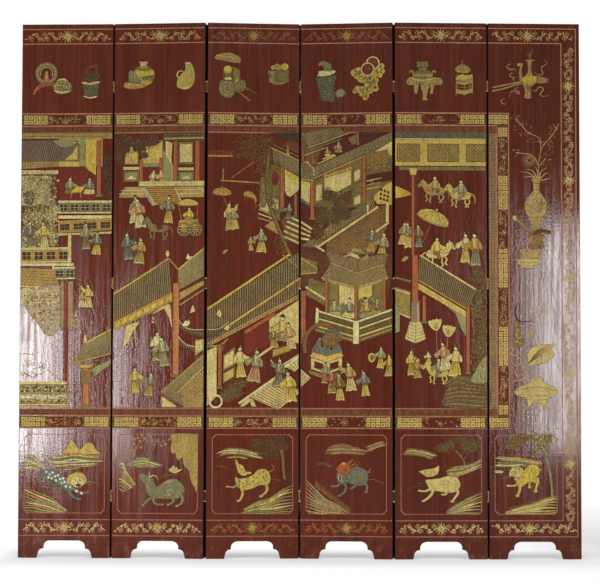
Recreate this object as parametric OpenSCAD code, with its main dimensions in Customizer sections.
// Six-leaf folding screen of lacquered boards, hinged edge to edge with brass.
// Millimetres. X runs along the screen, the painted front faces -Y and Z is up.
// The origin is the middle of the screen's footprint, on the floor.
// Inside one leaf, u runs left to right, t from the front face back, and v up.

/* [Leaf] */
// Width of one leaf
leaf_w = 366; // [320:1:420]
// Height of the screen
leaf_h = 2130; // [1900:5:2400]
// Thickness of the wooden boards
board_t = 20; // [16:1:26]
// Number of boards side by side in a leaf
board_count = 4; // [4:1:5]
// Glue line between two boards
glue_line = 0.2; // [0.1:0.1:0.4]
// Thickness of the ground and lacquer on each face
face_coat = 3; // [2:0.5:4]
// Thickness of the ground and lacquer on the side and top edges
edge_coat = 3; // [2:0.5:4]
// Rounding of the long arrises
arris = 1.5; // [1:0.25:1.9]
// Bare wood left below the lacquer at the feet
bare_foot = 2; // [1:0.5:4]

/* [Standing] */
// Turn of each leaf from left to right, with its right end nearer the viewer when positive
leaf_turn = [1.5, 5, -6, 6, -3, -3]; // [-12:0.5:12]
// Gap between two leaves that stand in one line
leaf_gap = 6; // [5:0.5:8]

/* [Foot arch] */
// Width of the arch between the feet, at the floor
arch_w = 224; // [180:1:260]
// Flat at the top of the arch
arch_flat = 112; // [90:1:130]
// Height of the arch
arch_h = 69; // [64:1:80]
// Height of the cusp between the two coves
cusp_h = 38; // [34:1:44]
// Height of the upper cove
upper_cove_h = 23; // [18:1:28]
// Width of the upper cove
upper_cove_w = 28; // [20:1:32]
// Width of the lower cove
lower_cove_w = 18; // [12:1:20]
// Height of the straight toe under the lower cove
toe_h = 12; // [6:1:16]
// Inward lean of the toe
toe_lean = 4; // [0:0.5:6]

/* [Joinery] */
// Radius of the dowels across the glue lines
dowel_r = 5; // [3:0.5:6]
// Length of a dowel
dowel_l = 50; // [30:1:60]
// Dowels in one glue line
dowel_rows = 4; // [2:1:5]
// Height of the lowest dowel
dowel_low = 330; // [300:5:400]
// Drop of the highest dowel from the top
dowel_drop = 330; // [300:5:400]
// Width of a cross batten
batten_w = 60; // [40:1:80]
// Depth of a cross batten in the back of the boards
batten_t = 7; // [4:0.5:8]
// Height of the lower batten's middle
batten_low = 180; // [150:5:200]
// Drop of the upper batten's middle from the top
batten_drop = 150; // [120:5:200]
// Bare board left at each end of a batten
batten_inset = 12; // [6:1:20]
// Room round a dowel or batten
fit_gap = 0.05; // [0.02:0.01:0.1]

/* [Hinges] */
// Height of a hinge with its pin heads
hinge_h = 40; // [32:1:50]
// Height of the lowest hinge's middle
hinge_low = 246; // [230:1:300]
// Height of the middle hinge's middle
hinge_mid = 1089; // [950:1:1200]
// Drop of the highest hinge's middle from the top
hinge_drop = 253; // [230:1:300]
// Radius of the knuckles
knuckle_r = 3.2; // [2.8:0.1:3.2]
// Gap between two knuckles
knuckle_gap = 0.3; // [0.2:0.1:0.5]
// Radius of the hinge pin
pin_r = 1.5; // [1:0.1:1.7]
// Radial room between the pin and its knuckles
pin_room = 0.05; // [0.03:0.01:0.1]
// Radius of a pin head
pin_head_r = 2.6; // [2.2:0.1:2.8]
// Thickness of a pin head
pin_head_t = 1.2; // [0.8:0.1:2]
// Distance of the pin's axis in front of the face
pin_proud = 2.5; // [2.3:0.1:3]
// Thickness of a hinge leaf
plate_t = 1.6; // [1.2:0.1:1.8]
// Depth that a hinge leaf is let into the edge
plate_sunk = 0.6; // [0.4:0.1:0.8]
// Depth of a hinge leaf from the face
plate_reach = 16; // [14:0.5:18]
// Room round a hinge leaf in its pocket
pocket_room = 0.1; // [0.05:0.05:0.2]
// Distance of a hinge leaf's long edge from the pin's axis
plate_clear = 3.6; // [3.5:0.1:4]
// Radius of a hinge nail
nail_r = 1; // [0.8:0.1:1.1]
// Radial room round a nail
nail_room = 0.05; // [0.02:0.01:0.1]
// Length of a nail under its head
nail_l = 14; // [10:0.5:18]
// Radius of a nail head
nail_head_r = 1.9; // [1.5:0.1:2.2]
// Thickness of a nail head
nail_head_t = 0.6; // [0.4:0.1:0.8]
// Depth of the nails from the face
nail_depth = 9; // [8:0.5:11]
// Height of each nail above or below the hinge's middle
nail_rise = 12; // [9:0.5:13]

/* [Draught strips] */
// Distance of a strip's outer side behind the pin's axis
strip_back = 1; // [0.5:0.1:1.5]
// Depth of a strip's glued side in the gap
strip_glued = 5.5; // [4:0.5:8]
// Room between a strip and the next leaf
strip_room = 0.3; // [0.2:0.1:0.5]
// Room between a strip's end and a hinge
strip_window = 1.5; // [1:0.5:3]
// Room between a strip's ends and the leaf's top and floor
strip_end = 4; // [3:0.5:10]

/* [Painted fillets] */
// Width of a fillet line
fillet_w = 4; // [3:0.25:5]
// Depth of its groove
groove_d = 0.8; // [0.5:0.1:1.2]
// Depth of the pigment's surface below the face
pigment_low = 0.2; // [0.1:0.05:0.4]
// Lacquer above the top fillet
top_margin = 20; // [14:1:30]
// Height of the top scroll band
top_scroll = 59; // [50:1:70]
// Height of the plain field with the antiques
antiques_field = 282; // [240:1:320]
// Height of the upper lattice band
upper_lattice = 50; // [40:1:60]
// Height of the upper key band
upper_key = 28; // [22:1:36]
// Height of the lowest fillet
base_margin = 89; // [84:1:96]
// Height of the bottom scroll band
base_scroll = 63; // [50:1:70]
// Height of the field with the beasts
beast_field = 362; // [340:1:400]
// Height of the lower lattice band
lower_lattice = 48; // [40:1:60]
// Height of the lower key band
lower_key = 31; // [22:1:36]
// Width of the upright key band on the last leaf
side_key = 34; // [26:1:40]
// Width of the upright lattice band on the last leaf
side_lattice = 48; // [40:1:60]
// Width of the upright scroll border on the last leaf
side_scroll = 58; // [50:1:70]
// Lacquer outside the upright scroll border
side_margin = 15; // [10:1:20]

/* [Beast panels] */
// Width of the frame line round a beast
frame_line = 3; // [2:0.25:4]
// Lacquer at each side of the frame
frame_side = 22; // [16:1:30]
// Lacquer between the frame and the fillets above and below
frame_ends = 24; // [16:1:30]
// Cut corners of the frame
frame_corner = 14; // [8:1:20]

/* [Back] */
// Lacquer outside the line on the back
back_margin = 28; // [20:1:40]
// Lacquer under the line on the back
back_base = 104; // [94:1:120]

/* [Hidden] */
leaves = 6;
joints = leaves - 1;
curve_steps = 6;
round_steps = 32;
over = 1;
leaf_t = board_t + 2 * face_coat;
board_w = (leaf_w - 2 * edge_coat - (board_count - 1) * glue_line) / board_count;
knuckle_h = (hinge_h - 2 * pin_head_t - 2 * knuckle_gap) / 3;
plate_h = hinge_h - 2 * pin_head_t;
plate_out = plate_t - plate_sunk;
edge_x = leaf_gap / 2;
hinge_heights = [hinge_low, hinge_mid, leaf_h - hinge_drop];
dowel_step = (leaf_h - dowel_drop - dowel_low) / (dowel_rows - 1);

// Heights of the fillets, from the top of the leaf down and from the floor up
top_line = leaf_h - top_margin;
field_top = top_line - top_scroll;
field_low = field_top - antiques_field;
upper_lattice_low = field_low - upper_lattice;
scene_top = upper_lattice_low - upper_key;
base_line = base_margin;
beast_low = base_line + base_scroll;
beast_top = beast_low + beast_field;
lower_lattice_top = beast_top + lower_lattice;
scene_low = lower_lattice_top + lower_key;
side_line = leaf_w - side_margin;
side_inner = side_line - side_scroll;

lacquer = [0.42, 0.16, 0.13];
lacquer_dark = [0.24, 0.09, 0.08];
bare_wood = [0.62, 0.46, 0.30];
hard_wood = [0.50, 0.36, 0.22];
brass = [0.78, 0.62, 0.28];
black_felt = [0.05, 0.04, 0.04];
orange_tan = [0.66, 0.41, 0.25];

leaf_names = [for (k = [1:leaves]) str("panel_", k)];
joint_names = [for (j = [1:joints]) str(j, j + 1)];
LEAF_NODES = [
    "_boards", "_joinery", "_front_lacquer", "_back_lacquer", "_edge_lacquer", "_inlay",
    "_hinge_leaves", "_hinge_nails"
];

// ---- where each leaf stands ----

// The pins lie at the front on odd joints and at the back on even ones
function pin_at_front(j) = j % 2 == 1;
function pin_t(j) = pin_at_front(j) ? -pin_proud : leaf_t + pin_proud;

// A point of leaf k's plan, measured from the leaf's front left corner
function in_plan(k, u, t) =
    let (a = leaf_turn[k - 1])
    [u * cos(a) + t * sin(a), t * cos(a) - u * sin(a)];

// Front left corner of leaf k, with leaf 1's at zero: two leaves share each pin
function leaf_corner(k) =
    k == 1 ? [0, 0]
    : leaf_corner(k - 1) + in_plan(k - 1, leaf_w + edge_x, pin_t(k - 1)) - in_plan(k, -edge_x, pin_t(k - 1));

function pin_axis(j) = leaf_corner(j) + in_plan(j, leaf_w + edge_x, pin_t(j));

plan_corners = [
    for (k = [1:leaves])
        for (u = [0, leaf_w])
            for (t = [0, leaf_t])
                leaf_corner(k) + in_plan(k, u, t)
];
plan_x = [for (p = plan_corners) p[0]];
plan_y = concat(
    [for (p = plan_corners) p[1]],
    [for (j = [1:joints]) pin_axis(j)[1] - knuckle_r],
    [for (j = [1:joints]) pin_axis(j)[1] + knuckle_r]
);
middle = [(min(plan_x) + max(plan_x)) / 2, (min(plan_y) + max(plan_y)) / 2];

module stand(k) {
    corner = leaf_corner(k) - middle;
    translate([corner[0], corner[1], 0])
        rotate([0, 0, -leaf_turn[k - 1]])
            children();
}

// ---- outlines seen from the front, in u and v ----

function cove(centre, radii) = [
    for (i = [0:curve_steps])
        let (a = 90 - 90 * i / curve_steps)
        centre + [radii[0] * cos(a), radii[1] * sin(a)]
];

// Right half of the arch, from the middle of its flat down to the floor
arch_half = concat(
    [[0, arch_h]],
    cove([arch_flat / 2, arch_h - upper_cove_h], [upper_cove_w, upper_cove_h]),
    [[arch_flat / 2 + upper_cove_w, cusp_h]],
    cove([arch_w / 2 - toe_lean - lower_cove_w, toe_h], [lower_cove_w, cusp_h - toe_h - 2]),
    [[arch_w / 2, 0], [arch_w / 2, -over], [0, -over]]
);

module arch_outline() {
    translate([leaf_w / 2, 0]) {
        polygon(arch_half);
        mirror([1, 0])
            polygon(arch_half);
    }
}

// The leaf between two heights and inside its side edges by inset
module leaf_outline(inset, low, high) {
    difference() {
        translate([inset, low])
            square([leaf_w - 2 * inset, high - low]);
        arch_outline();
    }
}

// Turns an outline in u and v into a sheet between two depths
module sheet(t0, t1) {
    translate([0, t1, 0])
        rotate([90, 0, 0])
            linear_extrude(t1 - t0)
                children();
}

// ---- fillet lines ----

module level_line(v, u0, u1) {
    translate([u0, v - fillet_w / 2])
        square([u1 - u0, fillet_w]);
}

module upright_line(u, v0, v1) {
    translate([u - fillet_w / 2, v0 - fillet_w / 2])
        square([fillet_w, v1 - v0 + fillet_w]);
}

// Lines of a leaf whose bands all run from edge to edge
module through_fillets() {
    for (v = [
        top_line, field_top, field_low, upper_lattice_low, scene_top,
        scene_low, lower_lattice_top, beast_top, beast_low, base_line
    ])
        level_line(v, arris, leaf_w - arris);
}

// Lines of the last leaf, where the bands turn the corner
module corner_fillets() {
    level_line(top_line, arris, side_line);
    level_line(field_top, arris, side_inner);
    level_line(field_low, arris, side_key + side_lattice);
    level_line(upper_lattice_low, arris, side_key);
    level_line(lower_lattice_top, arris, side_key);
    level_line(beast_top, arris, side_key + side_lattice);
    level_line(beast_low, arris, side_inner);
    level_line(base_line, arris, side_line);
    upright_line(side_key, lower_lattice_top, upper_lattice_low);
    upright_line(side_key + side_lattice, beast_top, field_low);
    upright_line(side_inner, beast_low, field_top);
    upright_line(side_line, base_line, top_line);
}

// A closed line with cut corners: low and high are its outer lower left and upper right corners
module cut_corner_shape(low, high, cut) {
    polygon([
        [low[0] + cut, low[1]], [high[0] - cut, low[1]], [high[0], low[1] + cut],
        [high[0], high[1] - cut], [high[0] - cut, high[1]], [low[0] + cut, high[1]],
        [low[0], high[1] - cut], [low[0], low[1] + cut]
    ]);
}

module frame_ring(low, high, cut, line) {
    difference() {
        cut_corner_shape(low, high, cut);
        cut_corner_shape(low + [line, line], high - [line, line], cut);
    }
}

module beast_frame(k) {
    right = k == leaves ? side_inner : leaf_w;
    low = [frame_side, beast_low + frame_ends];
    high = [right - frame_side, beast_top - frame_ends];
    frame_ring(low, high, frame_corner, frame_line);
}

module front_lines(k) {
    if (k == leaves)
        corner_fillets();
    else
        through_fillets();
    beast_frame(k);
}

module back_line() {
    low = [back_margin, back_base];
    high = [leaf_w - back_margin, leaf_h - back_margin];
    frame_ring(low, high, frame_corner, fillet_w);
}

// ---- places of the hinges ----

// Puts children drawn about a pin's axis on one edge of a leaf.
// There +x runs into the leaf from the pin and +y into its thickness.
module at_hinge_line(k, right_edge) {
    j = right_edge ? k : k - 1;
    u = right_edge ? leaf_w + edge_x : -edge_x;
    translate([u, pin_t(j), 0])
        mirror([right_edge ? 1 : 0, 0, 0])
            mirror([0, pin_at_front(j) ? 0 : 1, 0])
                children();
}

module at_each_hinge(k, right_edge) {
    at_hinge_line(k, right_edge)
        for (z = hinge_heights)
            translate([0, 0, z])
                children();
}

// Both hinged edges of leaf k, or the one it has
module at_all_hinges(k) {
    if (k > 1)
        at_each_hinge(k, false)
            children();
    if (k < leaves)
        at_each_hinge(k, true)
            children();
}

module hinge_pocket() {
    translate([edge_x - over, 0, -plate_h / 2 - pocket_room])
        cube([over + plate_sunk + pocket_room, pin_proud + plate_reach + pocket_room, plate_h + 2 * pocket_room]);
}

module nail_holes() {
    for (z = [-nail_rise, nail_rise])
        translate([0, pin_proud + nail_depth, z])
            rotate([0, 90, 0])
                cylinder(r = nail_r + nail_room, h = edge_x - plate_out + nail_l + nail_room, $fn = round_steps);
}

// ---- boards and joinery ----

module batten_places() {
    for (v = [batten_low, leaf_h - batten_drop])
        translate([edge_coat + batten_inset, face_coat + board_t - batten_t, v - batten_w / 2])
            children();
}

module batten(room) {
    translate([-room, -room, -room])
        cube([
            leaf_w - 2 * (edge_coat + batten_inset) + 2 * room, batten_t + room + (room > 0 ? over : 0),
            batten_w + 2 * room
        ]);
}

module dowel_places() {
    for (i = [1:board_count - 1])
        for (row = [0:dowel_rows - 1])
            translate([
                edge_coat + i * board_w + (i - 0.5) * glue_line,
                face_coat + (board_t - batten_t) / 2,
                dowel_low + row * dowel_step
            ])
                rotate([0, 90, 0])
                    children();
}

module dowel(room) {
    cylinder(r = dowel_r + room, h = dowel_l + 2 * room, center = true, $fn = round_steps);
}

module boards(k) {
    color(bare_wood)
        difference() {
            sheet(face_coat, face_coat + board_t)
                difference() {
                    leaf_outline(edge_coat, 0, leaf_h - edge_coat);
                    for (i = [1:board_count - 1])
                        translate([edge_coat + i * board_w + (i - 1) * glue_line, -over])
                            square([glue_line, leaf_h]);
                }
            dowel_places()
                dowel(fit_gap);
            batten_places()
                batten(fit_gap);
            at_all_hinges(k)
                nail_holes();
        }
}

module joinery() {
    color(hard_wood) {
        dowel_places()
            dowel(0);
        batten_places()
            batten(0);
    }
}

// ---- lacquer ----

// Plan of the leaf with its long arrises rounded
module rounded_plan() {
    translate([arris, arris])
        square([leaf_w - 2 * arris, leaf_t - 2 * arris]);
    for (u = [arris, leaf_w - arris])
        for (t = [arris, leaf_t - arris])
            translate([u, t])
                circle(r = arris, $fn = round_steps);
    translate([0, arris])
        square([leaf_w, leaf_t - 2 * arris]);
    translate([arris, 0])
        square([leaf_w - 2 * arris, leaf_t]);
}

module coat(k, t0, t1) {
    difference() {
        intersection() {
            sheet(t0, t1)
                leaf_outline(0, bare_foot, leaf_h);
            linear_extrude(leaf_h + over)
                rounded_plan();
        }
        at_all_hinges(k)
            hinge_pocket();
    }
}

module front_lacquer(k) {
    color(lacquer)
        difference() {
            coat(k, 0, face_coat);
            sheet(-over, groove_d)
                front_lines(k);
        }
}

module back_lacquer(k) {
    color(lacquer_dark)
        difference() {
            coat(k, leaf_t - face_coat, leaf_t);
            sheet(leaf_t - groove_d, leaf_t + over)
                back_line();
        }
}

// The coat on both side edges and the top, between the two face coats
module edge_lacquer(k) {
    color(lacquer_dark)
        difference() {
            sheet(face_coat, face_coat + board_t)
                difference() {
                    leaf_outline(0, bare_foot, leaf_h);
                    translate([edge_coat, -over])
                        square([leaf_w - 2 * edge_coat, leaf_h - edge_coat + over]);
                }
            at_all_hinges(k) {
                hinge_pocket();
                nail_holes();
            }
        }
}

// Coloured pigment in the incised lines of both faces
module inlay(k) {
    color(orange_tan) {
        sheet(pigment_low, groove_d)
            front_lines(k);
        sheet(leaf_t - groove_d, leaf_t - pigment_low)
            back_line();
    }
}

// ---- hinges ----

// Knuckle number i of three, counted from below, with its link to the plate
module knuckle(i) {
    z = (i - 1) * (knuckle_h + knuckle_gap) - knuckle_h / 2;
    translate([0, 0, z]) {
        cylinder(r = knuckle_r, h = knuckle_h, $fn = round_steps);
        translate([edge_x - plate_out, 0, 0])
            cube([plate_t, plate_clear, knuckle_h]);
    }
}

module hinge_leaf(knuckles) {
    difference() {
        union() {
            translate([edge_x - plate_out, plate_clear, -plate_h / 2])
                cube([plate_t, pin_proud + plate_reach - plate_clear, plate_h]);
            for (i = knuckles)
                knuckle(i);
        }
        cylinder(r = pin_r + pin_room, h = hinge_h + over, center = true, $fn = round_steps);
        nail_holes();
    }
}

// Leaf k's own halves: the middle knuckle on its left edge, the outer two on its right
module hinge_leaves(k) {
    color(brass) {
        if (k > 1)
            at_each_hinge(k, false)
                hinge_leaf([1]);
        if (k < leaves)
            at_each_hinge(k, true)
                hinge_leaf([0, 2]);
    }
}

module hinge_nails(k) {
    color(brass)
        at_all_hinges(k)
            for (z = [-nail_rise, nail_rise])
                translate([edge_x - plate_out, pin_proud + nail_depth, z])
                    rotate([0, 90, 0]) {
                        cylinder(r = nail_r, h = nail_l, $fn = round_steps);
                        translate([0, 0, -nail_head_t])
                            cylinder(r = nail_head_r, h = nail_head_t, $fn = round_steps);
                    }
}

module hinge_pins(j) {
    color(brass)
        at_each_hinge(j, true) {
            cylinder(r = pin_r, h = hinge_h - pin_head_t, center = true, $fn = round_steps);
            for (side = [-1, 1])
                translate([0, 0, side * (hinge_h - pin_head_t) / 2])
                    cylinder(r = pin_head_r, h = pin_head_t, center = true, $fn = round_steps);
        }
}

// ---- draught strips ----

// Lower and upper ends of the stretches of strip between the hinges
strip_ends = concat([strip_end], [
    for (z = hinge_heights)
        for (side = [-1, 1])
            z + side * (hinge_h / 2 + strip_window)
], [leaf_h - strip_end]);

module draught_strip(j) {
    color(black_felt)
        at_hinge_line(j, true)
            for (i = [0:2:len(strip_ends) - 1])
                translate([strip_room - edge_x, strip_back, strip_ends[i]])
                    cube([
                        2 * edge_x - strip_room, pin_proud + strip_glued - strip_back,
                        strip_ends[i + 1] - strip_ends[i]
                    ]);
}

// ---- the screen ----

module leaf_part(k, part) {
    stand(k) {
        if (part == "_boards")
            boards(k);
        if (part == "_joinery")
            joinery();
        if (part == "_front_lacquer")
            front_lacquer(k);
        if (part == "_back_lacquer")
            back_lacquer(k);
        if (part == "_edge_lacquer")
            edge_lacquer(k);
        if (part == "_inlay")
            inlay(k);
        if (part == "_hinge_leaves")
            hinge_leaves(k);
        if (part == "_hinge_nails")
            hinge_nails(k);
    }
}

for (k = [1:leaves])
    for (part = LEAF_NODES)
        leaf_part(k, part);

for (j = [1:joints]) {
    stand(j) hinge_pins(j);
    stand(j) draught_strip(j);
}
